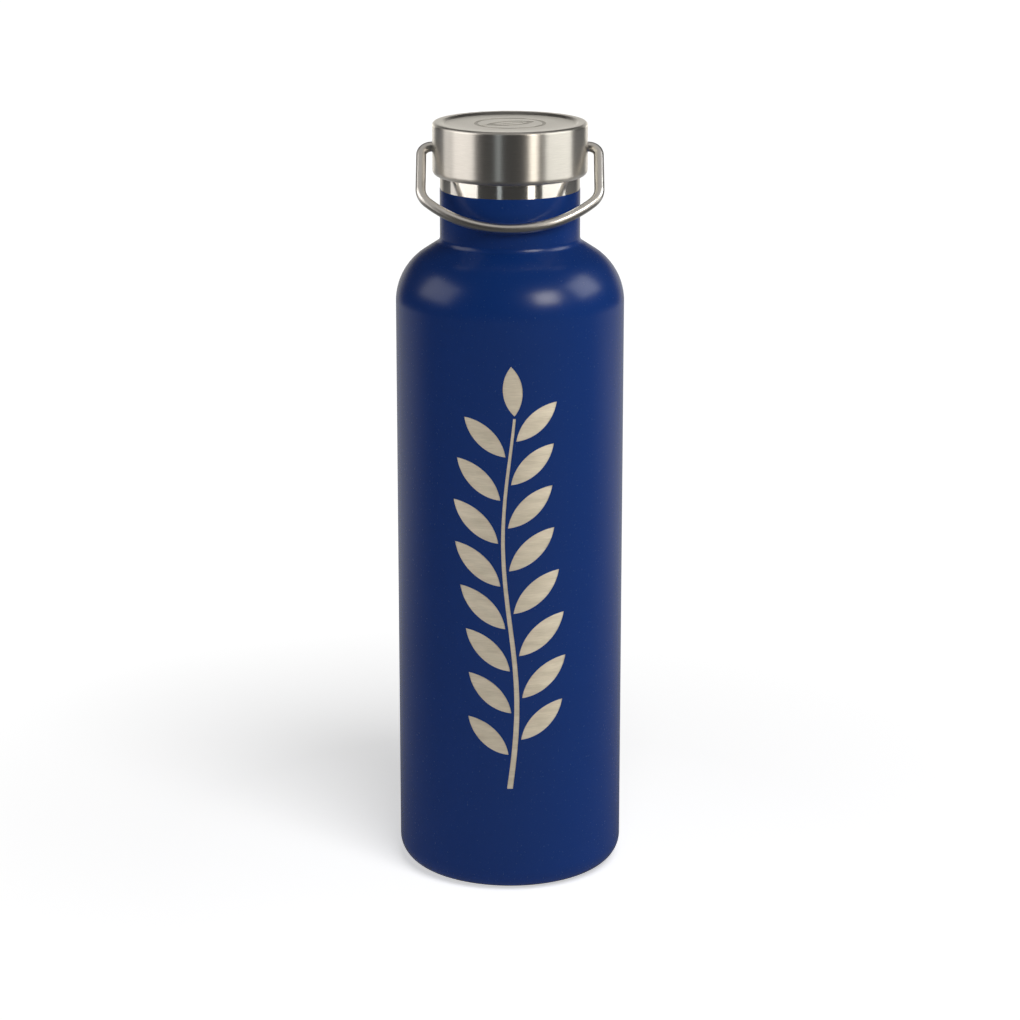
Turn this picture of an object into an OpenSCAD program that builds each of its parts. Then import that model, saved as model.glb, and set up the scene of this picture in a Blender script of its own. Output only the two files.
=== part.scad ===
// Double-walled vacuum water bottle with a screw lid and a swinging wire handle.
// Millimetres, +Z up. The origin is the middle of the foot, on the surface that the bottle stands on.
// The handle hangs on the -Y side, and its pivot axis lies along X.

/* [Bottle] */
// Outside diameter of the painted body
body_d = 73; // [66:0.5:80]
// Height of the whole bottle, lid on
overall_h = 246; // [230:1:280]
// Outside diameter of the painted neck
neck_d = 44.6; // [44.2:0.1:45]
// Height where the neck meets the shoulder cone
neck_foot_z = 208.2; // [200:0.2:209]
// Slope of the shoulder cone below the horizontal
shoulder_slope = 33; // [27:1:40]
// Radius between the shoulder cone and the body
shoulder_r = 19; // [8:1:20]
// Radius of the concave fillet between neck and shoulder
neck_fillet_r = 2.5; // [2:0.5:4]
// Radius of the bottom corner
base_corner_r = 8; // [6:0.5:9]
// Height of the edge of the paint on the neck
paint_edge_z = 224.8; // [218:0.2:226]

/* [Walls] */
// Thickness of the drawn steel walls
steel_t = 0.5; // [0.4:0.05:0.6]
// Thickness of the powder coat
coat_t = 0.1; // [0.08:0.01:0.15]
// Vacuum gap between the two walls
vacuum_gap = 2.5; // [2:0.1:3]

/* [Lid] */
// Outside diameter of the steel cap
cap_d = 49.2; // [49:0.2:50]
// Height of the steel cap
cap_h = 16.8; // [16:0.2:17.2]
// Lead of the two-start screw thread
thread_lead = 6; // [5.6:0.2:6.4]
// Turns that each thread ridge runs
thread_turns = 1.25; // [1:0.05:1.5]

/* [Handle] */
// Diameter of the handle wire
wire_d = 3.2; // [2.6:0.1:3.2]
// Distance of each leg's centre line from the middle
handle_half = 28; // [27.6:0.1:29]
// Distance from the pivot axis to the end of the straight leg
handle_leg = 17; // [15:0.1:18]
// Radius of the bend from the leg into the grip arc
handle_corner_r = 7.5; // [6:0.1:10]
// Turn of that bend
handle_corner_turn = 46; // [44:1:52]

/* [Leaf ornament] */
// Pairs of leaves on the stem
leaf_pairs = 8; // [4:1:9]
// Length of the largest leaf
leaf_length = 20; // [14:1:22]
// Lower end of the ornament
stem_z = 36; // [30:1:45]
// Upper end of the ornament
stem_top_z = 175; // [150:1:176]

/* [Hidden] */

$fn = 96;
arc_steps = 12;          // straight steps in each arc of a turned profile
fit_gap = 0.01;          // bonded faces that would otherwise coincide
body_r = body_d / 2;
neck_r = neck_d / 2;
shell_inset = coat_t + fit_gap;

// Lid and mouth heights, counted down from the top of the lid
cap_r = cap_d / 2;
cap_bottom_z = overall_h - cap_h;
pivot_z = overall_h - 8;
lip_z = overall_h - 12;
lip_t = 0.7;
lip_chamfer = 0.3;
seal_t = 1.3;
seal_gap = 0.05;
side_gap = 0.3;          // around the seal
flange_z = lip_z + seal_t + 2 * seal_gap;

// Inner flask
inner_r = body_r - shell_inset - steel_t - vacuum_gap;
mouth_r = neck_r - 2.4;              // bore of the neck, inside the inner wall
inner_neck_r = mouth_r + steel_t;
inner_slope_drop = vacuum_gap + shell_inset + steel_t;
inner_foot_z = neck_foot_z - inner_slope_drop / cos(shoulder_slope)
    + (neck_r - inner_neck_r) * tan(shoulder_slope);
inner_shoulder_r = shoulder_r - vacuum_gap;
inner_floor_z = 9;
inner_joint_z = 17;
inner_corner_r = 6;

// Foot and base
weld_angle = 75;                     // where the tube ends on the bottom corner
foot_inner_r = 25;
ledge_r = 23.6;
ledge_z = 1.5;
recess_r = 20;
recess_z = 3;
recess_step = 1;
cover_r = 23.2;
groove_radii = [8, 16];              // rings pressed into the cover
groove_w = 0.6;
pump_hole_r = 0.8;
bead_r = 2;                          // solder bead over the pump-out hole
bead_h = 0.9;
bead_chamfer = 0.4;

// Getter and foil in the vacuum
getter_r = 4.5;
getter_h = 2.4;
getter_wall = 0.4;
getter_z = inner_floor_z - getter_h;
getter_gap = 0.05;
foil_gap = 0.02;
foil_t = 0.08;
foil_margin = 2;                     // bare wall above and below the foil

// Screw thread
starts = 2;
thread_pitch = thread_lead / starts;
plug_r = 18.4;
plug_crest_r = 19.55;                // crest of the plug's thread
neck_crest_r = 18.85;                // crest of the neck's thread
thread_root_half = 0.85;
thread_crest_half = 0.35;
thread_embed = 0.25;                 // how deep a ridge's root sits in the wall
thread_sink = 0.05;                  // how deep a ridge's crest sinks in at its ends
thread_step = 10;                    // degrees between sections
thread_fade = 40;                    // degrees over which a ridge rises at each end
plug_thread_z = overall_h - 25.5;
neck_thread_z = plug_thread_z + thread_pitch / 2;

// Lid
sheet_t = 0.6;
panel_r = cap_r - 3.7;
rim_inner_r = panel_r + 0.6;
panel_drop = 0.6;
panel_step_shift = 1 / 3;            // share of an inset by which the step round the panel moves in
cap_corner_r = 1;
curl_r = 1.8;
glue_gap = 0.1;                      // between the cap and the carrier, and round the foam
carrier_r = cap_r - sheet_t - glue_gap;
carrier_chamfer = 2.5;
skirt_chamfer = [1, 1.2];            // width and height, clear of the cap's curled edge
skirt_inner_r = neck_r + 0.5;
skirt_z = cap_bottom_z + 0.9;
carrier_bore_r = 16.9;
carrier_top_z = overall_h - panel_drop - sheet_t - glue_gap;
pocket_r = [18.4, 19.8];             // moulding pocket in the carrier
pocket_z = flange_z + 2;
plug_lip_h = 1.4;                    // the plug's rim, let into the carrier
plug_floor_z = overall_h - 31;
plug_floor_t = 1.6;
plug_step_r = 17.7;
plug_step_h = 1.6;
disc_t = 0.5;
disc_corner = 0.7;
disc_side_gap = 0.2;
emblem_r = 11.4;
emblem_line = 1.2;
emblem_leaf = [17, 9];               // length and width
emblem_leaf_open = [12.4, 6.2];      // the part of it that isn't etched
emblem_turn = 28;
emblem_vein = 1;
emblem_vein_end = 4;                 // how far the vein stops short of the tip
emblem_stalk = 2;
engrave_depth = 0.12;

// Handle
wire_r = wire_d / 2;
handle_bend_r = 3.3;
bend_swell = 0.02;       // a bend's wire is this much thicker than a straight stretch
bend_lap = 0.2;          // how far the stretches run into each other
pin_inner_x = 20.9;
pin_bore_r = wire_r + 0.05;
pin_bore_end_x = 20.6;
pin_bore_h = 8;                      // runs out past the carrier
cap_hole_r = wire_r + 0.25;
handle_gap = 0.35;                   // between the hanging handle and the painted neck
grip_turn = 90 - handle_corner_turn; // half of the grip arc
grip_end_x = handle_half - handle_corner_r * (1 - cos(handle_corner_turn));
grip_end_drop = handle_leg + handle_corner_r * sin(handle_corner_turn);
grip_r = grip_end_x / sin(grip_turn);
grip_centre_drop = grip_end_drop - grip_r * cos(grip_turn);
handle_drop = grip_centre_drop + grip_r;
grip_lap = bend_lap / grip_r * 180 / PI;
handle_tilt = asin((neck_r + handle_gap + wire_r) / handle_drop);

// Leaf ornament
stem_steps = 24;
stem_sway = 2.2;                     // how far the stem swings to each side
stem_waves = 400;                    // degrees of that swing over the stem's length
stem_thickness = [1.9, 0.9];         // at the bottom and at the top
stem_share = 0.88;                   // of the ornament's height, the rest being the last leaf
leaf_aspect = 0.34;
leaf_taper = 0.28;                   // how much smaller the leaves get towards both ends
leaf_free_steps = 0.7;               // steps left free at the top of the stem
leaf_spread = 46;                    // turn of the side leaves from upright
leaf_stagger = 0.18;                 // left leaves sit this share of a step below the right ones
leaf_stalk_gap = 0.9;
top_leaf = [15.9, 6.2];
top_leaf_lean = 4;

// Points of an arc in a profile: centre, radius, and start and end angles
function arc(c, r, from, to, n = arc_steps) =
    [for (i = [0:n]) c + r * [cos(from + (to - from) * i / n), sin(from + (to - from) * i / n)]];
function reversed(list) = [for (i = [len(list) - 1:-1:0]) list[i]];

// Height where a shoulder arc meets a wall of radius r
function shoulder_z(r, neck, foot_z, round_r, slope) =
    foot_z - round_r * cos(slope) - (r - round_r + round_r * sin(slope) - neck) * tan(slope);

// Shoulder and neck fillet, from the wall up to the neck, moved inwards by inset
function shoulder(r, neck, foot_z, round_r, inset) =
    let (slope = shoulder_slope,
         z = shoulder_z(r, neck, foot_z, round_r, slope),
         fillet_z = foot_z + neck_fillet_r * tan((90 - slope) / 2))
    concat(
        arc([r - round_r, z], round_r - inset, 0, 90 - slope),
        arc([neck + neck_fillet_r, fillet_z], neck_fillet_r + inset, 270 - slope, 180));

// Outside of the bottle from the weld at the foot to a height on the neck, moved inwards by inset
function outside(inset, top_z) = concat(
    arc([body_r - base_corner_r, base_corner_r], base_corner_r - inset, -weld_angle, 0),
    shoulder(body_r, neck_r, neck_foot_z, shoulder_r, inset),
    [[neck_r - inset, top_z]]);

// Inner flask from its joint to the mouth, moved inwards by inset
function inside(inset, top_z) = concat(
    [[inner_r - inset, inner_joint_z]],
    shoulder(inner_r, inner_neck_r, inner_foot_z, inner_shoulder_r, inset),
    [[inner_neck_r - inset, top_z]]);

module turned(points) rotate_extrude() polygon(points);
module ring(r_in, r_out, z, h) turned([[r_in, z], [r_out, z], [r_out, z + h], [r_in, z + h]]);

// ---------- bottle ----------

module outer_shell() color("silver")
    turned(concat(outside(shell_inset, lip_z - lip_t),
        reversed(outside(shell_inset + steel_t, lip_z - lip_t))));

module powder_coat() color("darkblue") difference() {
    turned(concat(outside(0, paint_edge_z), reversed(outside(coat_t, paint_edge_z))));
    rotate([90, 0, 0]) linear_extrude(body_r + 5) sprig();
}

// Pressed base: rolled corner, foot ring, ledge for the cover and a recess with the pump-out hole
function base_profile(inset) = concat(
    arc([body_r - base_corner_r, base_corner_r], base_corner_r - inset, -weld_angle, -90, 4),
    [[foot_inner_r + inset / 2, inset], [ledge_r + inset / 2, ledge_z + inset],
     [recess_r + inset / 2, ledge_z + inset], [recess_r - recess_step, recess_z + inset],
     [pump_hole_r, recess_z + inset]]);

module outer_base() color("silver")
    turned(concat(base_profile(0), reversed(base_profile(steel_t))));

// Solder bead that closes the pump-out hole
module vacuum_seal() color("gray") {
    translate([0, 0, recess_z]) cylinder(r = pump_hole_r - fit_gap, h = steel_t);
    turned([[0, recess_z - bead_h], [bead_r - bead_chamfer, recess_z - bead_h],
        [bead_r, recess_z - bead_h + bead_chamfer], [bead_r, recess_z], [0, recess_z]]);
}

module base_cover() color("silver") difference() {
    translate([0, 0, ledge_z - disc_t]) cylinder(r = cover_r, h = disc_t);
    for (r = groove_radii) ring(r, r + groove_w, ledge_z - disc_t - 1, 1 + engrave_depth);
}

module inner_vessel() color("silver") {
    turned(concat(inside(0, lip_z - lip_t),
        [[neck_r - shell_inset, lip_z - lip_t], [neck_r - shell_inset, lip_z - lip_chamfer],
         [neck_r - shell_inset - lip_chamfer, lip_z], [mouth_r + lip_chamfer, lip_z],
         [mouth_r, lip_z - lip_chamfer]],
        reversed(inside(steel_t, lip_z - lip_t))));
    thread(mouth_r + thread_embed, neck_crest_r, neck_thread_z);
}

// Pressed bottom of the inner flask
function flask_floor(inset) = concat([[0, inner_floor_z + inset]],
    arc([inner_r - inner_corner_r, inner_floor_z + inner_corner_r], inner_corner_r - inset, -90, 0),
    [[inner_r - inset, inner_joint_z]]);

module inner_base() color("silver")
    turned(concat(flask_floor(0), reversed(flask_floor(steel_t))));

// Upside-down cup under the flask's bottom, open below
module getter_cup() color("silver") difference() {
    translate([0, 0, getter_z]) cylinder(r = getter_r, h = getter_h);
    translate([0, 0, getter_z - 1]) cylinder(r = getter_r - getter_wall, h = getter_h - getter_wall + 1);
}

module getter_pellet() color("dimgray")
    translate([0, 0, getter_z + getter_gap])
        cylinder(r = getter_r - getter_wall - getter_gap, h = getter_h - getter_wall - 2 * getter_gap);

module copper_foil() color("chocolate")
    ring(inner_r + foil_gap, inner_r + foil_gap + foil_t, inner_joint_z + foil_margin,
        shoulder_z(inner_r, inner_neck_r, inner_foot_z, inner_shoulder_r, shoulder_slope)
            - inner_joint_z - 2 * foil_margin);

// ---------- lid ----------

// Steel cap from the middle of the panel to the curled lower edge, moved inwards by inset
function cap_profile(inset) = concat(
    [[0, overall_h - panel_drop - inset],
     [panel_r - inset * panel_step_shift, overall_h - panel_drop - inset],
     [rim_inner_r - inset * panel_step_shift, overall_h - inset]],
    arc([cap_r - cap_corner_r, overall_h - cap_corner_r], cap_corner_r - inset, 90, 0, 6),
    arc([cap_r - curl_r, cap_bottom_z + curl_r], curl_r - inset, 0, -80));

module cap_shell() color("lightgray") difference() {
    turned(concat(cap_profile(0), reversed(cap_profile(sheet_t))));
    for (side = [-1, 1])
        translate([side * cap_r, 0, pivot_z]) rotate([0, 90, 0])
            cylinder(r = cap_hole_r, h = 4, center = true);
    translate([0, 0, overall_h - panel_drop - engrave_depth]) linear_extrude(2) emblem();
}

// Plastic ring that fills the cap, holds the handle's pins and covers the rim of the neck
module lid_carrier() color("dimgray") difference() {
    turned([[carrier_bore_r, flange_z + plug_lip_h], [carrier_bore_r, carrier_top_z],
        [pocket_r[0], carrier_top_z], [pocket_r[0], pocket_z], [pocket_r[1], pocket_z],
        [pocket_r[1], carrier_top_z], [carrier_r - carrier_chamfer, carrier_top_z],
        [carrier_r, carrier_top_z - carrier_chamfer], [carrier_r, skirt_z + skirt_chamfer[1]],
        [carrier_r - skirt_chamfer[0], skirt_z], [skirt_inner_r, skirt_z],
        [skirt_inner_r, flange_z], [plug_r + fit_gap, flange_z],
        [plug_r + fit_gap, flange_z + plug_lip_h]]);
    for (side = [-1, 1])
        translate([side * (pin_bore_end_x + pin_bore_h / 2), 0, pivot_z]) rotate([0, 90, 0])
            cylinder(r = pin_bore_r, h = pin_bore_h, center = true);
}

// Threaded plug cup
module lid_plug() color("dimgray") {
    turned([[0, plug_floor_z], [plug_step_r, plug_floor_z],
        [plug_step_r, plug_floor_z + plug_step_h], [plug_r, plug_floor_z + plug_step_h],
        [plug_r, flange_z + plug_lip_h - fit_gap],
        [carrier_bore_r, flange_z + plug_lip_h - fit_gap],
        [carrier_bore_r, plug_floor_z + plug_floor_t], [0, plug_floor_z + plug_floor_t]]);
    thread(plug_r - thread_embed, plug_crest_r, plug_thread_z);
}

module lid_foam() color("whitesmoke")
    translate([0, 0, plug_floor_z + plug_floor_t + glue_gap])
        cylinder(r = carrier_bore_r - glue_gap,
            h = carrier_top_z - plug_floor_z - plug_floor_t - 2 * glue_gap);

// Steel pan pressed over the end of the plug
module plug_disc() color("silver")
    let (out_r = plug_r - disc_side_gap, low_z = plug_floor_z - fit_gap - disc_t,
         rim_z = plug_floor_z + plug_step_h - disc_side_gap)
    turned([[0, low_z], [out_r - disc_corner, low_z], [out_r, low_z + disc_corner], [out_r, rim_z],
        [plug_step_r + fit_gap, rim_z], [plug_step_r + fit_gap, low_z + disc_t], [0, low_z + disc_t]]);

// Silicone washer between the carrier and the rim of the neck
module lid_seal() color("white")
    ring(plug_r + side_gap, skirt_inner_r - side_gap, lip_z + seal_gap, seal_t);

// ---------- handle ----------

// A bent stretch of wire in the XZ plane: centre, radius, and start and end angles from +X
module wire_arc(x, z, r, from, to, swell = bend_swell)
    translate([x, 0, z]) rotate([90, 0, 0])
        rotate([0, 0, from]) rotate_extrude(angle = to - from)
            translate([r, 0]) circle(wire_r + swell);

module handle_side() {
    translate([pin_inner_x, 0, 0]) rotate([0, 90, 0])
        cylinder(r = wire_r, h = handle_half - handle_bend_r - pin_inner_x + bend_lap);
    wire_arc(handle_half - handle_bend_r, -handle_bend_r, handle_bend_r, 0, 90);
    translate([handle_half, 0, -handle_leg - bend_lap])
        cylinder(r = wire_r, h = handle_leg - handle_bend_r + 2 * bend_lap);
    wire_arc(handle_half - handle_corner_r, -handle_leg, handle_corner_r, -handle_corner_turn, 0);
}

module bail_handle() color("silver")
    translate([0, 0, pivot_z]) rotate([-handle_tilt, 0, 0]) {
        handle_side();
        mirror([1, 0, 0]) handle_side();
        wire_arc(0, -grip_centre_drop, grip_r, -90 - grip_turn - grip_lap,
            -90 + grip_turn + grip_lap, 0);
    }

// ---------- thread ----------

// Two helical ridges between a root radius, inside the wall, and a crest radius.
// They climb anticlockwise, and each fades into the wall at both ends.
module thread(root_r, crest_r, z0) for (s = [0:starts - 1])
    rotate([0, 0, 360 / starts * s]) ridge(root_r, crest_r, z0);

module ridge(root_r, crest_r, z0) {
    total = 360 * thread_turns;
    n = round(total / thread_step);
    wall_r = crest_r > root_r ? root_r + thread_embed : root_r - thread_embed;
    low_r = wall_r + (crest_r > root_r ? -thread_sink : thread_sink);
    function section(i) =
        let (a = total * i / n,
             rise = min(1, a / thread_fade, (total - a) / thread_fade),
             top_r = low_r + (crest_r - low_r) * rise,
             z = z0 + thread_lead * a / 360,
             outline = [[root_r, -thread_root_half], [top_r, -thread_crest_half],
                 [top_r, thread_crest_half], [root_r, thread_root_half]])
        [for (p = outline) [p[0] * cos(a), p[0] * sin(a), z + p[1]]];
    points = [for (i = [0:n]) each section(i)];
    quads = [for (i = [0:n - 1], k = [0:3])
        [4 * i + k, 4 * i + (k + 1) % 4, 4 * i + 4 + (k + 1) % 4, 4 * i + 4 + k]];
    side = [for (q = quads) each [[q[0], q[2], q[1]], [q[0], q[3], q[2]]]];
    ends = [[0, 1, 2], [0, 2, 3], [4 * n, 4 * n + 2, 4 * n + 1], [4 * n, 4 * n + 3, 4 * n + 2]];
    faces = concat(side, ends);
    polyhedron(points, crest_r < root_r ? faces : [for (f = faces) [f[0], f[2], f[1]]]);
}

// ---------- ornament ----------

// A pointed leaf along +X from the origin, as two arcs that cross
module leaf(length, width) {
    r = (length * length / 4 + width * width / 4) / width;
    intersection() {
        translate([length / 2, width / 2 - r]) circle(r);
        translate([length / 2, r - width / 2]) circle(r);
    }
}

// Middle line and half width of the stem, and the height at a share t of it
function stem_x(t) = stem_sway * sin(stem_waves * t);
function stem_half(t) = (stem_thickness[0] + (stem_thickness[1] - stem_thickness[0]) * t) / 2;
function stem_y(t) = stem_z + (stem_top_z - stem_z) * stem_share * t;
function leaf_size(t) = leaf_length * (1 - leaf_taper * (1 - sin(27 + 126 * t)));

module sprig() {
    polygon(concat(
        [for (i = [0:stem_steps]) let (t = i / stem_steps) [stem_x(t) - stem_half(t), stem_y(t)]],
        [for (i = [stem_steps:-1:0]) let (t = i / stem_steps) [stem_x(t) + stem_half(t), stem_y(t)]]));
    for (k = [1:leaf_pairs], side = [-1, 1]) {
        t = (k + side * leaf_stagger) / (leaf_pairs + leaf_free_steps);
        translate([stem_x(t) + side * (stem_half(t) + leaf_stalk_gap), stem_y(t)])
            rotate([0, 0, 90 - side * leaf_spread]) leaf(leaf_size(t), leaf_size(t) * leaf_aspect);
    }
    translate([stem_x(1), stem_top_z - top_leaf[0]]) rotate([0, 0, 90 + top_leaf_lean])
        leaf(top_leaf[0], top_leaf[1]);
}

module centred_leaf(size) translate([-size[0] / 2, 0]) leaf(size[0], size[1]);

// Ring and leaf on the lid
module emblem() {
    difference() {
        circle(emblem_r);
        circle(emblem_r - emblem_line);
    }
    rotate([0, 0, emblem_turn]) {
        difference() {
            centred_leaf(emblem_leaf);
            centred_leaf(emblem_leaf_open);
        }
        translate([-emblem_leaf[0] / 2 - emblem_stalk, -emblem_vein / 2])
            square([emblem_leaf[0] + emblem_stalk - emblem_vein_end, emblem_vein]);
    }
}

outer_shell();
powder_coat();
outer_base();
vacuum_seal();
base_cover();
inner_vessel();
inner_base();
getter_cup();
getter_pellet();
copper_foil();
cap_shell();
lid_carrier();
lid_plug();
lid_foam();
plug_disc();
lid_seal();
bail_handle();
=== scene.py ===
"""Looks of the vacuum water bottle: fine turned shells, coat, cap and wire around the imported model.

Profiles are in millimetres, as in the design, and become metres when a mesh is made.
The front of the bottle faces -Y.
"""

import math

import bmesh
import bpy
from mathutils import Matrix, Vector


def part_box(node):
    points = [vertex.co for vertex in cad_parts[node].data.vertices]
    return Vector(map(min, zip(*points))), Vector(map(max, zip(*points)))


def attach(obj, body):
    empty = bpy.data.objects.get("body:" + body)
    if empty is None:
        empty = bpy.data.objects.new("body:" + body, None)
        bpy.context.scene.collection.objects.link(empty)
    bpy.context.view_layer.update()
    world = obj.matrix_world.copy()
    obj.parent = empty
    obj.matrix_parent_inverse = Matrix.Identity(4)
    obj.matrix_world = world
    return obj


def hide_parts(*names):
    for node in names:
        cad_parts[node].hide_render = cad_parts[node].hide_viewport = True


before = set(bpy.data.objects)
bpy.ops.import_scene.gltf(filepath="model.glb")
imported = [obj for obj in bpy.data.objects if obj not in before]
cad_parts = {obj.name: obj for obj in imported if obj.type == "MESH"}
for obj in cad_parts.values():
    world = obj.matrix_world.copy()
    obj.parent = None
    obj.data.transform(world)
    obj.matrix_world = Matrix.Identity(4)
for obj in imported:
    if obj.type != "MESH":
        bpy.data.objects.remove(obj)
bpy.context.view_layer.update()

MM = 0.001

# ---------- sizes, from the imported model where it gives them ---


def top_of(node):
    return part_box(node)[1].z / MM


def bottom_of(node):
    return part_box(node)[0].z / MM


def radius_of(node):
    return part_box(node)[1].x / MM


BODY_R = radius_of("powder_coat")
OVERALL_H = top_of("cap_shell")
CAP_R = radius_of("cap_shell")
CAP_SKIRT = 0.9          # how far the cap reaches below the ring inside it
CAP_BOTTOM = bottom_of("lid_carrier") - CAP_SKIRT
PAINT_EDGE = top_of("powder_coat")
NECK_R = 22.3
NECK_FOOT = 208.2
SHOULDER_SLOPE = 33
SHOULDER_R = 19
NECK_FILLET_R = 2.5
BASE_CORNER_R = 8
WELD_ANGLE = 75
COAT_T = 0.1
SHELL_INSET = COAT_T + 0.01
STEEL_T = 0.5
SHELL_TOP = top_of("outer_shell")
POLISH_OVERLAP = 1       # how far the polished band reaches down behind the paint's edge

SHEET_T = 0.6
PANEL_R = CAP_R - 3.7
RIM_INNER_R = PANEL_R + 0.6
PANEL_DROP = 0.6
STEP_EDGE = (0.25, 0.06)  # bevel at both edges of the step round the panel, across and down
CAP_CORNER_R = 1
CAP_TOP_SLOPE = 0.35     # faces of the cap that look up more than this are its top
CURL_R = 1.8
EMBLEM_R = 11.4
EMBLEM_LINE = 1.2
EMBLEM_LEAF = (17, 9)
EMBLEM_LEAF_OPEN = (12.4, 6.2)
EMBLEM_TURN = 28
EMBLEM_VEIN = 1
EMBLEM_VEIN_END = 4
EMBLEM_STALK = 2
EMBLEM_ROW_GAP = 3       # rings of the panel, this far inside and outside the emblem
ENGRAVE_DEPTH = 0.05

PIVOT_Z = OVERALL_H - 8
WIRE_R = 1.6
HANDLE_HALF = 28
HANDLE_LEG = 17
HANDLE_BEND_R = 3.3
HANDLE_CORNER_R = 7.5
HANDLE_CORNER_TURN = 46
HANDLE_GAP = 0.35
PIN_INNER_X = 20.9
PIN_CHAMFER = 0.4
PIN_HOLE_R = WIRE_R + 0.25
PIN_HOLE_HALF = 2

LEAF_PAIRS = 8
LEAF_LENGTH = 20
LEAF_ASPECT = 0.34
LEAF_TAPER = 0.28
LEAF_SWELL = (27, 153)   # the part of a sine, in degrees, that their lengths follow up the stem
LEAF_SPREAD = 46
LEAF_STAGGER = 0.18
LEAF_STALK_GAP = 0.9
LEAF_FREE_STEPS = 0.7
TOP_LEAF = (15.9, 6.2)
TOP_LEAF_LEAN = 4
STEM_Z = 36
STEM_TOP_Z = 175
STEM_SHARE = 0.88
STEM_SWAY = 2.2
STEM_WAVES = 400
STEM_THICKNESS = (1.9, 0.9)
CUTTER_REACH = (20, BODY_R + 6)  # where the ornament's cutters start and end, in front of the axis

TURN_STEPS = 256
BODY_ROW_GAP = 12
SHARP_ANGLE = 30
SAME_PLACE = 0.01        # heights that differ by less than this are the same
SPARE = 2                # how far a cutter goes past the face that it cuts
SLIVER = 0.000001        # in metres, points closer than this are one point

# ---------- profiles ----------


def arc(cx, cz, r, start, end, steps):
    """Points on an arc, with angles in degrees from +X."""
    out = []
    for i in range(steps + 1):
        a = math.radians(start + (end - start) * i / steps)
        out.append((cx + r * math.cos(a), cz + r * math.sin(a)))
    return out


def shoulder(inset):
    """Shoulder arc and neck fillet of the outer wall, moved inwards by inset."""
    slope = math.radians(SHOULDER_SLOPE)
    run = BODY_R - SHOULDER_R + SHOULDER_R * math.sin(slope) - NECK_R
    z = NECK_FOOT - SHOULDER_R * math.cos(slope) - run * math.tan(slope)
    fillet_z = NECK_FOOT + NECK_FILLET_R * math.tan((math.pi / 2 - slope) / 2)
    return arc(BODY_R - SHOULDER_R, z, SHOULDER_R - inset, 0, 90 - SHOULDER_SLOPE, 32) + arc(
        NECK_R + NECK_FILLET_R, fillet_z, NECK_FILLET_R + inset, 270 - SHOULDER_SLOPE, 180, 20
    )


def body_rows(inset):
    """Rings up the straight part of the body, so that its long faces stay regular."""
    low, high = BASE_CORNER_R, shoulder(inset)[0][1]
    n = round((high - low) / BODY_ROW_GAP)
    return [(BODY_R - inset, low + (high - low) * i / n) for i in range(1, n)]


def outside(inset, top):
    corner = arc(
        BODY_R - BASE_CORNER_R, BASE_CORNER_R, BASE_CORNER_R - inset, -WELD_ANGLE, 0, 24
    )
    return corner + body_rows(inset) + shoulder(inset) + top


# ---------- meshes ----------


def add_mesh(name, vertices, faces):
    """An object from points in millimetres."""
    mesh = bpy.data.meshes.new(name)
    mesh.from_pydata([Vector(v) * MM for v in vertices], [], faces)
    mesh.validate()
    obj = bpy.data.objects.new(name, mesh)
    bpy.context.scene.collection.objects.link(obj)
    smooth(mesh)
    return obj


def smooth(mesh):
    mesh.shade_smooth()
    mesh.set_sharp_from_angle(angle=math.radians(SHARP_ANGLE))


def turned(name, profile, steps=TURN_STEPS):
    """A closed profile of (radius, height) points, turned about Z. Points on the axis become poles."""
    rings, vertices = [], []
    for r, z in profile:
        if r < 1e-6:
            rings.append([len(vertices)] * steps)
            vertices.append((0, 0, z))
            continue
        rings.append([len(vertices) + k for k in range(steps)])
        for k in range(steps):
            a = 2 * math.pi * k / steps
            vertices.append((r * math.cos(a), r * math.sin(a), z))
    faces = []
    count = len(rings)
    for i in range(count):
        a, b = rings[i], rings[(i + 1) % count]
        for k in range(steps):
            n = (k + 1) % steps
            corners = [a[k], a[n], b[n], b[k]]
            unique = list(dict.fromkeys(corners))
            if len(unique) > 2:
                faces.append(unique)
    return add_mesh(name, vertices, faces)


def prism(name, outline, low, high):
    """A flat outline of (x, y) points, extruded from low to high along Z."""
    n = len(outline)
    vertices = [(x, y, low) for x, y in outline] + [(x, y, high) for x, y in outline]
    faces = [list(range(n))[::-1], list(range(n, 2 * n))]
    faces += [[i, (i + 1) % n, n + (i + 1) % n, n + i] for i in range(n)]
    return add_mesh(name, vertices, faces)


def join(name, objects):
    """Several objects as one mesh."""
    bm = bmesh.new()
    for o in objects:
        o.data.transform(o.matrix_basis)
        bm.from_mesh(o.data)
        bpy.data.objects.remove(o)
    mesh = bpy.data.meshes.new(name)
    bm.to_mesh(mesh)
    bm.free()
    obj = bpy.data.objects.new(name, mesh)
    bpy.context.scene.collection.objects.link(obj)
    return obj


def cut(obj, cutter):
    """Takes cutter's volume out of obj."""
    modifier = obj.modifiers.new("cut", "BOOLEAN")
    modifier.object = cutter
    modifier.operation = "DIFFERENCE"
    modifier.solver = "EXACT"
    modifier.use_self = True
    depsgraph = bpy.context.evaluated_depsgraph_get()
    mesh = bpy.data.meshes.new_from_object(obj.evaluated_get(depsgraph))
    obj.modifiers.clear()
    obj.data = mesh
    bpy.data.objects.remove(cutter)


def remove_slivers(mesh):
    """Removes the faces without area that cuts leave where their edges meet the mesh's own."""
    bm = bmesh.new()
    bm.from_mesh(mesh)
    bmesh.ops.remove_doubles(bm, verts=bm.verts, dist=SLIVER)
    bmesh.ops.dissolve_degenerate(bm, edges=bm.edges, dist=SLIVER)
    bm.to_mesh(mesh)
    bm.free()


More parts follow.
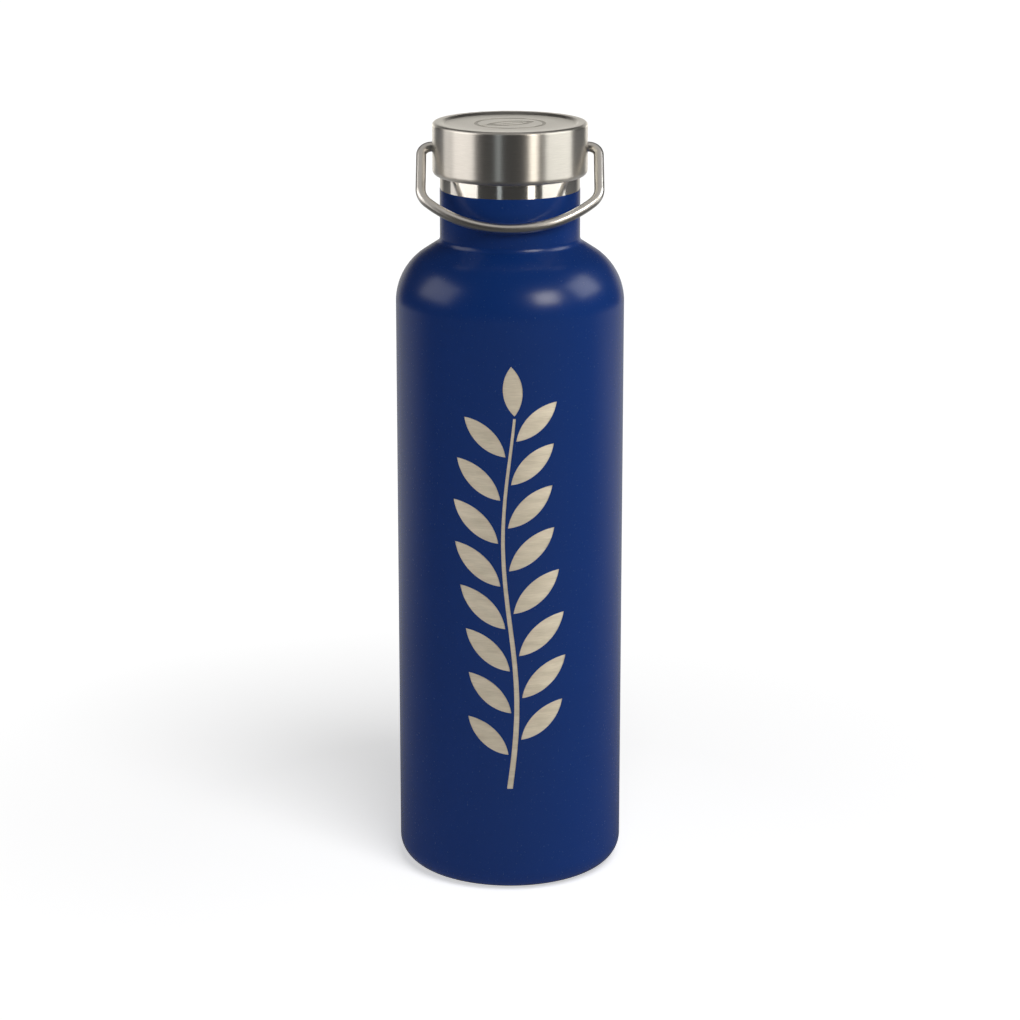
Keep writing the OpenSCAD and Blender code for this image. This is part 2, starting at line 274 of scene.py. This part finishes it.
def true_normals(obj, r, low, high, limit=0.996):
    """Gives faces on an upright cylinder of radius r its exact normals, so cuts in it don't show."""
    mesh = obj.data
    normals = [c.vector.copy() for c in mesh.corner_normals]
    for face in mesh.polygons:
        c = face.center
        radial = Vector((c.x, c.y, 0)).normalized()
        facing = face.normal.dot(radial)
        if abs(facing) < limit or not low * MM < c.z < high * MM:
            continue
        for i in face.loop_indices:
            p = mesh.vertices[mesh.loops[i].vertex_index].co
            normals[i] = math.copysign(1, facing) * Vector((p.x, p.y, 0)).normalized()
    mesh.normals_split_custom_set(normals)


# ---------- ornament outlines ----------


def leaf(length, width, x, y, angle, steps=20):
    """A pointed leaf from (x, y) along angle, as two arcs."""
    r = (length**2 / 4 + width**2 / 4) / width
    half = math.degrees(math.asin(length / 2 / r))
    lower = arc(length / 2, r - width / 2, r, -90 - half, -90 + half, steps)
    upper = arc(length / 2, width / 2 - r, r, 90 - half, 90 + half, steps)
    return [(x + px, y + py) for px, py in turn_points(lower[:-1] + upper[:-1], angle)]


# Along the stem, t runs from 0 at its foot to 1 at its top.


def stem_x(t):
    return STEM_SWAY * math.sin(math.radians(STEM_WAVES * t))


def stem_y(t):
    return STEM_Z + (STEM_TOP_Z - STEM_Z) * STEM_SHARE * t


def stem_half(t):
    low, high = STEM_THICKNESS
    return (low + (high - low) * t) / 2


def leaf_size(t):
    low, high = LEAF_SWELL
    return LEAF_LENGTH * (1 - LEAF_TAPER * (1 - math.sin(math.radians(low + (high - low) * t))))


def sprig_outlines(steps=72):
    """Stem, side leaves and top leaf of the ornament, as (x, height) outlines."""
    shares = [i / steps for i in range(steps + 1)]
    right = [(stem_x(t) + stem_half(t), stem_y(t)) for t in shares]
    left = [(stem_x(t) - stem_half(t), stem_y(t)) for t in shares]
    outlines = [right + left[::-1]]
    for k in range(1, LEAF_PAIRS + 1):
        for side in (-1, 1):
            t = (k + side * LEAF_STAGGER) / (LEAF_PAIRS + LEAF_FREE_STEPS)
            foot = stem_x(t) + side * (stem_half(t) + LEAF_STALK_GAP)
            size = leaf_size(t)
            outlines.append(leaf(size, size * LEAF_ASPECT, foot, stem_y(t), 90 - side * LEAF_SPREAD))
    outlines.append(leaf(*TOP_LEAF, stem_x(1), STEM_TOP_Z - TOP_LEAF[0], 90 + TOP_LEAF_LEAN))
    return outlines


def turn_points(points, angle):
    c, s = math.cos(math.radians(angle)), math.sin(math.radians(angle))
    return [(x * c - y * s, x * s + y * c) for x, y in points]


# ---------- materials ----------


def new_material(name):
    material = bpy.data.materials.new(name)
    material.use_nodes = True
    nodes = material.node_tree.nodes
    shader = nodes["Principled BSDF"]
    return material, material.node_tree, shader


def node(tree, kind, **values):
    made = tree.nodes.new(kind)
    for key, value in values.items():
        setattr(made, key, value)
    return made


def math_node(tree, operation, a, b=None):
    made = node(tree, "ShaderNodeMath", operation=operation)
    for socket, value in zip(made.inputs, (a, b)):
        if value is None:
            continue
        if isinstance(value, (int, float)):
            socket.default_value = value
        else:
            tree.links.new(value, socket)
    return made.outputs[0]


def noise(tree, vector, scale, detail=2, roughness=0.5):
    made = node(tree, "ShaderNodeTexNoise")
    made.inputs["Scale"].default_value = scale
    made.inputs["Detail"].default_value = detail
    made.inputs["Roughness"].default_value = roughness
    tree.links.new(vector, made.inputs["Vector"])
    return made.outputs["Fac"]


def object_position(tree):
    return node(tree, "ShaderNodeTexCoord").outputs["Object"]


AXIS_CLEARANCE = 0.0005  # in metres, keeps the unrolled position finite on the axis


def around(tree, along, across):
    """Position unrolled around Z: slow along the turn, fast across it, both in radius and in height."""
    split = node(tree, "ShaderNodeSeparateXYZ")
    tree.links.new(object_position(tree), split.inputs[0])
    x, y, z = split.outputs
    r = math_node(tree, "SQRT", math_node(tree, "ADD", math_node(tree, "MULTIPLY", x, x),
                                          math_node(tree, "MULTIPLY", y, y)))
    unit_x = math_node(tree, "DIVIDE", x, math_node(tree, "MAXIMUM", r, AXIS_CLEARANCE))
    unit_y = math_node(tree, "DIVIDE", y, math_node(tree, "MAXIMUM", r, AXIS_CLEARANCE))
    fast = math_node(tree, "MULTIPLY", math_node(tree, "ADD", z, r), across)
    joined = node(tree, "ShaderNodeCombineXYZ")
    tree.links.new(math_node(tree, "MULTIPLY", unit_x, along), joined.inputs[0])
    tree.links.new(math_node(tree, "MULTIPLY", unit_y, along), joined.inputs[1])
    tree.links.new(fast, joined.inputs[2])
    return joined.outputs[0]


def ramp(tree, value, low, high, start=0, end=1):
    """Maps start..end to low..high."""
    made = node(tree, "ShaderNodeMapRange")
    made.inputs["From Min"].default_value = start
    made.inputs["From Max"].default_value = end
    made.inputs["To Min"].default_value = low
    made.inputs["To Max"].default_value = high
    tree.links.new(value, made.inputs["Value"])
    return made.outputs[0]


def colour_between(tree, value, first, second):
    made = node(tree, "ShaderNodeMix", data_type="RGBA")
    made.inputs["A"].default_value = (*first, 1)
    made.inputs["B"].default_value = (*second, 1)
    tree.links.new(value, made.inputs["Factor"])
    return made.outputs["Result"]


def bump(tree, shader, height, distance, strength=1.0):
    made = node(tree, "ShaderNodeBump")
    made.inputs["Distance"].default_value = distance
    made.inputs["Strength"].default_value = strength
    tree.links.new(height, made.inputs["Height"])
    tree.links.new(made.outputs[0], shader.inputs["Normal"])


def powder_coat_material():
    material, tree, shader = new_material("royal_blue_powder_coat")
    grain = noise(tree, object_position(tree), 1500, 3, 0.6)
    broad = noise(tree, object_position(tree), 60, 2)
    tint = colour_between(tree, broad, (0.0070, 0.0490, 0.270), (0.0080, 0.0535, 0.292))
    tree.links.new(tint, shader.inputs["Base Color"])
    tree.links.new(ramp(tree, grain, 0.24, 0.29), shader.inputs["Roughness"])
    shader.inputs["IOR"].default_value = 1.5
    bump(tree, shader, grain, 0.00001, 0.15)
    return material


def steel_material(name, light, dark, rough, spread, streak, anisotropic, depth, along=6):
    """Stainless steel with fine lines that run round the bottle's axis."""
    material, tree, shader = new_material(name)
    lines = noise(tree, around(tree, along, streak), 1, 4, 0.65)
    tint = colour_between(tree, ramp(tree, lines, -0.3, 1.3), dark, light)
    tree.links.new(tint, shader.inputs["Base Color"])
    shader.inputs["Metallic"].default_value = 1
    tree.links.new(ramp(tree, lines, rough - spread, rough + spread), shader.inputs["Roughness"])
    shader.inputs["Anisotropic"].default_value = anisotropic
    shader.inputs["Anisotropic Rotation"].default_value = 0.25
    if anisotropic:
        tangent = node(tree, "ShaderNodeTangent", direction_type="RADIAL", axis="Z")
        tree.links.new(tangent.outputs[0], shader.inputs["Tangent"])
    bump(tree, shader, lines, depth)
    return material


def etched_material(name, light, dark, metallic, rough):
    """Steel laid bare by a laser: dull, with lines that run round the bottle."""
    material, tree, shader = new_material(name)
    lines = noise(tree, around(tree, 9, 5200), 1, 4, 0.7)
    patches = noise(tree, around(tree, 3, 420), 1, 3, 0.6)
    both = math_node(tree, "MULTIPLY", math_node(tree, "ADD", lines, patches), 0.5)
    tint = colour_between(tree, ramp(tree, both, -0.9, 1.9), dark, light)
    tree.links.new(tint, shader.inputs["Base Color"])
    shader.inputs["Metallic"].default_value = metallic
    tree.links.new(ramp(tree, lines, rough - 0.1, rough + 0.1), shader.inputs["Roughness"])
    bump(tree, shader, lines, 0.00003)
    return material


def wire_material():
    material, tree, shader = new_material("polished_wire")
    scuffs = noise(tree, object_position(tree), 700, 3, 0.6)
    tint = colour_between(tree, scuffs, (0.60, 0.58, 0.545), (0.68, 0.66, 0.62))
    tree.links.new(tint, shader.inputs["Base Color"])
    shader.inputs["Metallic"].default_value = 1
    tree.links.new(ramp(tree, scuffs, 0.27, 0.33), shader.inputs["Roughness"])
    bump(tree, shader, scuffs, 0.000001)
    return material


def plain_material(name, first, second, rough, scale=900, metallic=0.0, depth=0.00001):
    """Moulded or cast stuff with a fine grain."""
    material, tree, shader = new_material(name)
    grain = noise(tree, object_position(tree), scale, 3, 0.6)
    tree.links.new(colour_between(tree, grain, first, second), shader.inputs["Base Color"])
    shader.inputs["Metallic"].default_value = metallic
    tree.links.new(ramp(tree, grain, rough - 0.06, rough + 0.06), shader.inputs["Roughness"])
    bump(tree, shader, grain, depth)
    return material


def silicone_material():
    material = plain_material("milky_silicone", (0.74, 0.74, 0.70), (0.82, 0.82, 0.78), 0.42)
    shader = material.node_tree.nodes["Principled BSDF"]
    shader.inputs["Subsurface Weight"].default_value = 0.3
    shader.inputs["Subsurface Radius"].default_value = (0.001, 0.001, 0.001)
    return material


COAT = powder_coat_material()
BRUSHED = steel_material(
    "brushed_cap_steel", (0.76, 0.725, 0.67), (0.58, 0.55, 0.50), 0.33, 0.04, 9000, 0.9, 0.000001)
CAP_TOP = steel_material(
    "satin_cap_top", (0.54, 0.518, 0.478), (0.46, 0.441, 0.404), 0.38, 0.03, 2200, 0, 0.0000005)
POLISHED = steel_material(
    "polished_band_steel", (0.78, 0.75, 0.70), (0.70, 0.67, 0.62), 0.16, 0.02, 6000, 0.8, 0.0000003)
SATIN = steel_material(
    "satin_steel", (0.62, 0.60, 0.57), (0.5, 0.485, 0.46), 0.32, 0.06, 2600, 0.4, 0.000003)
ETCHED = etched_material("laser_bared_steel", (0.87, 0.785, 0.64), (0.61, 0.54, 0.42), 0.45, 0.5)
EMBLEM = etched_material("etched_emblem", (0.40, 0.375, 0.33), (0.32, 0.30, 0.265), 0.8, 0.45)
WIRE = wire_material()
PLASTIC = plain_material("grey_polypropylene", (0.045, 0.046, 0.05), (0.06, 0.061, 0.065), 0.46, 500)
FOAM = plain_material("closed_cell_foam", (0.75, 0.75, 0.72), (0.85, 0.85, 0.82), 0.85, 1500, 0.0, 0.0002)
COPPER = plain_material("copper_foil", (0.70, 0.36, 0.23), (0.80, 0.44, 0.29), 0.28, 260, 1.0, 0.0001)
SOLDER = plain_material("dull_solder", (0.30, 0.30, 0.29), (0.38, 0.38, 0.37), 0.5, 900, 1.0, 0.00005)
GETTER = plain_material("sintered_getter", (0.10, 0.10, 0.10), (0.16, 0.16, 0.16), 0.8, 3000, 0.5, 0.00008)
SILICONE = silicone_material()


def paint(obj, *materials):
    obj.data.materials.clear()
    for m in materials:
        obj.data.materials.append(m)


# ---------- pieces ----------


def make_coat():
    """The powder coat, with the ornament cut through it and rounded edges at the neck."""
    lip = arc(NECK_R - COAT_T / 2, PAINT_EDGE - COAT_T / 2, COAT_T / 2, 0, 180, 8)
    rows = outside(0, lip) + outside(COAT_T, [])[::-1]
    coat = turned("coat", rows)
    parts = []
    for i, outline in enumerate(sprig_outlines()):
        parts.append(prism(f"cutter_{i}", outline, *CUTTER_REACH))
    cutter = join("cutter", parts)
    cutter.data.transform(Matrix.Rotation(math.radians(90), 4, "X"))
    cut(coat, cutter)
    smooth(coat.data)
    true_normals(coat, BODY_R, BASE_CORNER_R, shoulder(0)[0][1])
    paint(coat, COAT)
    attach(coat, "bottle")
    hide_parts("powder_coat")
    return coat


def make_shell():
    """Outer steel wall: polished above the paint, dull where the ornament shows it."""
    edge = PAINT_EDGE - POLISH_OVERLAP
    rows = outside(SHELL_INSET, [(NECK_R - SHELL_INSET, edge), (NECK_R - SHELL_INSET, SHELL_TOP)])
    inner = outside(SHELL_INSET + STEEL_T, [(NECK_R - SHELL_INSET - STEEL_T, SHELL_TOP)])
    shell = turned("shell", rows + inner[::-1])
    paint(shell, ETCHED, POLISHED)
    for face in shell.data.polygons:
        if face.center.z > (edge - SAME_PLACE) * MM:
            face.material_index = 1
    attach(shell, "bottle")
    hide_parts("outer_shell")
    return shell


def cap_rows(inset):
    """Cap from the middle of the panel to the curled edge, moved inwards by inset."""
    top, panel = OVERALL_H - inset, OVERALL_H - PANEL_DROP - inset
    low_r, high_r = PANEL_R - inset / 3, RIM_INNER_R - inset / 3
    across, down = STEP_EDGE
    step_low = [(low_r - across, panel), (low_r, panel + down)]
    step_high = [(high_r, top - down), (high_r + across, top)]
    return (
        [(0, panel), (EMBLEM_R - EMBLEM_ROW_GAP, panel), (EMBLEM_R + EMBLEM_ROW_GAP, panel)]
        + step_low
        + step_high
        + arc(CAP_R - CAP_CORNER_R, OVERALL_H - CAP_CORNER_R, CAP_CORNER_R - inset, 90, 0, 12)
        + arc(CAP_R - CURL_R, CAP_BOTTOM + CURL_R, CURL_R - inset, 0, -80, 20)
    )


def ring_cutter(outer_r, inner_r, low, high):
    """A closed ring with a rectangular section."""
    return turned("ring_cutter", [(outer_r, low), (outer_r, high), (inner_r, high), (inner_r, low)])


def emblem_cutters(low, high):
    """Ring, leaf outline and vein of the emblem on the lid."""
    leaf_outlines = [
        turn_points(leaf(length, width, -length / 2, 0, 0), EMBLEM_TURN)
        for length, width in (EMBLEM_LEAF, EMBLEM_LEAF_OPEN)
    ]
    blade = prism("blade_cutter", leaf_outlines[0], low, high)
    cut(blade, prism("blade_keep", leaf_outlines[1], low - SPARE, high + SPARE))
    start, end = -EMBLEM_LEAF[0] / 2 - EMBLEM_STALK, EMBLEM_LEAF[0] / 2 - EMBLEM_VEIN_END
    half = EMBLEM_VEIN / 2
    vein = turn_points([(start, -half), (end, -half), (end, half), (start, half)], EMBLEM_TURN)
    return [
        ring_cutter(EMBLEM_R, EMBLEM_R - EMBLEM_LINE, low, high), blade,
        prism("vein_cutter", vein, low, high),
    ]


def pin_hole(side):
    """Cutter for the hole round a pin of the handle."""
    half = PIN_HOLE_HALF
    hole = turned("pin_hole", [(0, -half), (PIN_HOLE_R, -half), (PIN_HOLE_R, half), (0, half)], steps=48)
    hole.data.transform(Matrix.Translation(Vector((side * CAP_R, 0, PIVOT_Z)) * MM)
                        @ Matrix.Rotation(math.radians(90), 4, "Y"))
    return hole


def make_cap():
    """Brushed cap with its sunk panel, engraved emblem and holes for the handle."""
    cap = turned("cap", cap_rows(0) + cap_rows(SHEET_T)[::-1])
    engraved = OVERALL_H - PANEL_DROP - ENGRAVE_DEPTH
    for cutter in emblem_cutters(engraved, OVERALL_H + SPARE) + [pin_hole(-1), pin_hole(1)]:
        cut(cap, cutter)
    remove_slivers(cap.data)
    smooth(cap.data)
    true_normals(cap, CAP_R, CAP_BOTTOM + CURL_R, OVERALL_H - CAP_CORNER_R)
    paint(cap, BRUSHED, EMBLEM, CAP_TOP)
    for face in cap.data.polygons:
        c = face.center
        in_emblem = math.hypot(c.x, c.y) < (EMBLEM_R + EMBLEM_ROW_GAP) * MM
        if in_emblem and abs(c.z - engraved * MM) < SAME_PLACE * MM:
            face.material_index = 1
        elif face.normal.z > CAP_TOP_SLOPE:
            face.material_index = 2
    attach(cap, "lid")
    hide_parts("cap_shell")
    return cap


def handle_path():
    """Centre line of the handle in its own plane, as (x, height above the pivot), and how far it hangs."""
    turn = math.radians(HANDLE_CORNER_TURN)
    grip_half = 90 - HANDLE_CORNER_TURN
    end_x = HANDLE_HALF - HANDLE_CORNER_R * (1 - math.cos(turn))
    end_drop = HANDLE_LEG + HANDLE_CORNER_R * math.sin(turn)
    grip_r = end_x / math.sin(math.radians(grip_half))
    grip_centre = end_drop - grip_r * math.cos(math.radians(grip_half))
    right = [(PIN_INNER_X, 0), (PIN_INNER_X + PIN_CHAMFER, 0)]
    right += arc(HANDLE_HALF - HANDLE_BEND_R, -HANDLE_BEND_R, HANDLE_BEND_R, 90, 0, 16)
    right += arc(HANDLE_HALF - HANDLE_CORNER_R, -HANDLE_LEG, HANDLE_CORNER_R, 0, -HANDLE_CORNER_TURN, 24)
    grip = arc(0, -grip_centre, grip_r, -90 + grip_half, -90 - grip_half, 64)[1:-1]
    return right + grip + [(-x, z) for x, z in right[::-1]], grip_centre + grip_r


def make_handle(sides=32):
    """Round wire swept along the handle's path, with chamfered ends."""
    path, drop = handle_path()
    last = len(path) - 1
    vertices, faces = [], []
    for i, (x, z) in enumerate(path):
        before, after = path[max(i - 1, 0)], path[min(i + 1, last)]
        along = Vector((after[0] - before[0], after[1] - before[1])).normalized()
        r = WIRE_R - PIN_CHAMFER if i in (0, last) else WIRE_R
        for k in range(sides):
            t = 2 * math.pi * k / sides
            out = r * math.cos(t)
            vertices.append((x - out * along.y, r * math.sin(t), z + out * along.x))
    for i in range(last):
        for k in range(sides):
            n = (k + 1) % sides
            faces.append([i * sides + k, i * sides + n, (i + 1) * sides + n, (i + 1) * sides + k])
    faces += [list(range(sides)), [last * sides + k for k in range(sides)]]
    handle = add_mesh("handle", vertices, faces)
    recalculate(handle)
    tilt = math.asin((NECK_R + HANDLE_GAP + WIRE_R) / drop)
    handle.data.transform(Matrix.Translation((0, 0, PIVOT_Z * MM)) @ Matrix.Rotation(-tilt, 4, "X"))
    paint(handle, WIRE)
    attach(handle, "bail")
    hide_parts("bail_handle")
    return handle


def recalculate(obj):
    """Turns all faces outwards."""
    bm = bmesh.new()
    bm.from_mesh(obj.data)
    bmesh.ops.recalc_face_normals(bm, faces=bm.faces)
    bm.to_mesh(obj.data)
    bm.free()


def paint_inside():
    """Materials for the nodes that keep their own meshes."""
    looks = {
        "outer_base": SATIN, "base_cover": SATIN, "inner_vessel": SATIN, "inner_base": SATIN,
        "getter_cup": SATIN, "plug_disc": SATIN, "vacuum_seal": SOLDER, "getter_pellet": GETTER,
        "copper_foil": COPPER, "lid_carrier": PLASTIC, "lid_plug": PLASTIC, "lid_foam": FOAM,
        "lid_seal": SILICONE,
    }
    for name, look in looks.items():
        paint(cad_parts[name], look)
    return [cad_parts[name] for name in looks]


# ---------- studio ----------


def direction(tree):
    """Azimuth in degrees from -Y towards +X, and elevation in degrees, of a ray into the world."""
    split = node(tree, "ShaderNodeSeparateXYZ")
    tree.links.new(node(tree, "ShaderNodeTexCoord").outputs["Generated"], split.inputs[0])
    x, y, z = split.outputs
    azimuth = math_node(tree, "ARCTAN2", x, math_node(tree, "MULTIPLY", y, -1.0))
    return (math_node(tree, "DEGREES", azimuth), math_node(tree, "DEGREES", math_node(tree, "ARCSINE", z)))


def between(tree, value, low, high, soft):
    """1 between low and high, fading to 0 over soft at each side."""
    made = None
    for start, end in ((low - soft, low + soft), (high + soft, high - soft)):
        step = node(tree, "ShaderNodeMapRange", interpolation_type="SMOOTHSTEP")
        step.inputs["From Min"].default_value = start
        step.inputs["From Max"].default_value = end
        tree.links.new(value, step.inputs["Value"])
        made = step.outputs[0] if made is None else math_node(tree, "MULTIPLY", made, step.outputs[0])
    return made


ROOM = (0.030, 0.030, 0.031)
BACKDROP = (0.64, 0.62, 0.575)
# Where the backdrop is, in degrees, and how softly it ends
BACKDROP_AZIMUTH, AZIMUTH_SOFT = 148, 12
BACKDROP_ELEVATIONS, ELEVATION_SOFT = (-25, 6), 6
WHITE_SEEN = 1.06        # what the camera sees past the floor and away from the shadow


def make_world():
    """A dark room with a pale backdrop behind the bottle, shown as plain white to the camera."""
    world = bpy.data.worlds.new("studio")
    bpy.context.scene.world = world
    world.use_nodes = True
    tree = world.node_tree
    tree.nodes.clear()
    azimuth, elevation = direction(tree)
    front = between(tree, azimuth, -BACKDROP_AZIMUTH, BACKDROP_AZIMUTH, AZIMUTH_SOFT)
    back = math_node(tree, "SUBTRACT", 1.0, front)
    level = between(tree, elevation, *BACKDROP_ELEVATIONS, ELEVATION_SOFT)
    back = math_node(tree, "MULTIPLY", back, level)
    studio = node(tree, "ShaderNodeBackground")
    tree.links.new(colour_between(tree, back, ROOM, BACKDROP), studio.inputs["Color"])
    white = node(tree, "ShaderNodeBackground")
    white.inputs["Color"].default_value = (1, 1, 1, 1)
    white.inputs["Strength"].default_value = WHITE_SEEN
    pick = mix_shaders(tree, light_path(tree, "Is Camera Ray"), studio.outputs[0], white.outputs[0])
    tree.links.new(pick, node(tree, "ShaderNodeOutputWorld").inputs["Surface"])


def light_path(tree, output):
    return node(tree, "ShaderNodeLightPath").outputs[output]


def mix_shaders(tree, factor, first, second):
    made = node(tree, "ShaderNodeMixShader")
    for socket, value in zip(made.inputs, (factor, first, second)):
        tree.links.new(value, socket)
    return made.outputs[0]


LIGHT_TARGET_Z = 0.19
LIGHT_DISTANCE = 1.3


def area_light(name, azimuth, elevation, size, radiance, colour, receivers):
    """A panel that looks at the bottle, with its size in degrees. It lights only its receivers."""
    target = Vector((0, 0, LIGHT_TARGET_Z))
    a, e = math.radians(azimuth), math.radians(elevation)
    away = Vector((math.sin(a) * math.cos(e), -math.cos(a) * math.cos(e), math.sin(e)))
    width, height = [2 * LIGHT_DISTANCE * math.tan(math.radians(v) / 2) for v in size]
    data = bpy.data.lights.new(name, "AREA")
    data.shape = "RECTANGLE"
    data.size, data.size_y = width, height
    data.energy = radiance * math.pi * width * height
    data.color = colour
    lamp = bpy.data.objects.new(name, data)
    bpy.context.scene.collection.objects.link(lamp)
    lamp.visible_camera = False
    lamp.location = target + away * LIGHT_DISTANCE
    lamp.rotation_mode = "QUATERNION"
    lamp.rotation_quaternion = (-away).to_track_quat("-Z", "Y")
    group = bpy.data.collections.new(name + "_receivers")
    for obj in receivers:
        group.objects.link(obj)
    lamp.light_linking.receiver_collection = group


WARM = (1.0, 0.95, 0.87)
NEUTRAL = (1.0, 0.97, 0.94)
COOL = (0.85, 0.95, 1.0)

# Each light: name, azimuth, elevation, size in degrees, radiance, colour
SOFTBOXES = [
    ("key", 41, 31, (22, 20), 7.5, WARM),
    ("left", -86, 27, (40, 30), 1.55, NEUTRAL),
    ("right", 94, 30, (30, 26), 3.0, (0.98, 0.99, 1.0)),
]
# Tall panels that show in the bare steel only
STEEL_PANELS = [
    ("steel_left_far", -84, 12, (62, 70), 1.2, NEUTRAL),
    ("steel_left", -73, 12, (38, 70), 0.9, NEUTRAL),
    ("steel_key", 35, 12, (12, 70), 3.8, WARM),
    ("steel_right", 78, 12, (50, 70), 2.1, (0.98, 0.98, 0.94)),
    ("steel_thin", -17, 12, (7, 70), 0.75, COOL),
    ("steel_top", 0, 82, (60, 60), 0.5, NEUTRAL),
]
# What the cap's flat top mirrors
CAP_PANELS = [("cap_back", 180, 9, (66, 26), 1.41, (1.0, 0.97, 0.9))]
# Dimmer panels for the handle
WIRE_PANELS = [
    ("wire_left", -86, 12, (66, 70), 0.8, NEUTRAL),
    ("wire_top", 0, 86, (80, 80), 0.5, NEUTRAL),
    ("wire_key", 35, 12, (12, 70), 1.6, WARM),
    ("wire_right", 79.5, 12, (53, 70), 0.8, NEUTRAL),
]
FLOOR_LIGHTS = [("floor_light", 22, 48, (34, 34), 6.2, (1, 1, 1))]


def make_lights(floor, coat, cap, handle, bare):
    """Each group lights its own pieces only. The cap's flat top would mirror the softboxes."""
    groups = (
        (SOFTBOXES, [coat, handle] + bare), (STEEL_PANELS, [cap] + bare),
        (CAP_PANELS, [cap]), (WIRE_PANELS, [handle]), (FLOOR_LIGHTS, [floor]),
    )
    for lights, receivers in groups:
        for name, azimuth, elevation, size, radiance, colour in lights:
            area_light(name, azimuth, elevation, size, radiance, colour, receivers)


FLOOR_R = 1.2
FLOOR_GLOW = 0.58        # light of the floor's own, which keeps its shadow pale
FADE_START, FADE_END = 0.12, 0.30
FLOOR_WHITE = (0.9, 0.9, 0.9)
# How bright the floor is in reflections, from in front of the bottle to behind it
MIRRORED_GLOW, MIRRORED_Y = (0.09, 0.45), (-0.05, 0.3)


def make_floor():
    """White floor that fades to the plain white around it, and stays dim in reflections in front."""
    bpy.ops.mesh.primitive_circle_add(vertices=128, radius=FLOOR_R, fill_type="NGON")
    floor = bpy.context.object
    floor.name = "floor"
    material = bpy.data.materials.new("white_floor")
    material.use_nodes = True
    tree = material.node_tree
    tree.nodes.clear()
    split = node(tree, "ShaderNodeSeparateXYZ")
    tree.links.new(object_position(tree), split.inputs[0])
    x, y, _ = split.outputs

    lit = node(tree, "ShaderNodeBsdfDiffuse")
    lit.inputs["Color"].default_value = (*FLOOR_WHITE, 1)
    glow = node(tree, "ShaderNodeEmission")
    glow.inputs["Strength"].default_value = FLOOR_GLOW
    bright = node(tree, "ShaderNodeAddShader")
    tree.links.new(lit.outputs[0], bright.inputs[0])
    tree.links.new(glow.outputs[0], bright.inputs[1])
    plain = node(tree, "ShaderNodeEmission")
    plain.inputs["Strength"].default_value = WHITE_SEEN
    squares = math_node(tree, "ADD", math_node(tree, "MULTIPLY", x, x), math_node(tree, "MULTIPLY", y, y))
    fade = ramp(tree, math_node(tree, "SQRT", squares), 0, 1, FADE_START, FADE_END)
    seen = mix_shaders(tree, fade, bright.outputs[0], plain.outputs[0])

    mirrored = node(tree, "ShaderNodeEmission")
    mirror_strength = ramp(tree, y, *MIRRORED_GLOW, *MIRRORED_Y)
    tree.links.new(mirror_strength, mirrored.inputs["Strength"])
    other = mix_shaders(tree, light_path(tree, "Is Glossy Ray"), lit.outputs[0], mirrored.outputs[0])
    pick = mix_shaders(tree, light_path(tree, "Is Camera Ray"), other, seen)
    tree.links.new(pick, node(tree, "ShaderNodeOutputMaterial").inputs["Surface"])
    floor.data.materials.append(material)
    return floor


CAMERA_PLACE = (0, -1.0, 0.392)
CAMERA_TILT = 15.27      # degrees below level
CAMERA_LENS = 112.3
SENSOR_WIDTH = 36


def make_camera():
    """Looks down at the bottle from its front."""
    data = bpy.data.cameras.new("camera")
    data.sensor_width = SENSOR_WIDTH
    data.lens = CAMERA_LENS
    camera = bpy.data.objects.new("camera", data)
    bpy.context.scene.collection.objects.link(camera)
    camera.location = CAMERA_PLACE
    camera.rotation_euler = (math.radians(90 - CAMERA_TILT), 0, 0)
    bpy.context.scene.camera = camera


make_camera()
make_world()
bpy.context.scene.view_settings.view_transform = "Standard"

coat_piece = make_coat()
cap_piece = make_cap()
handle_piece = make_handle()
bare_pieces = [make_shell()] + paint_inside()
make_lights(make_floor(), coat_piece, cap_piece, handle_piece, bare_pieces)
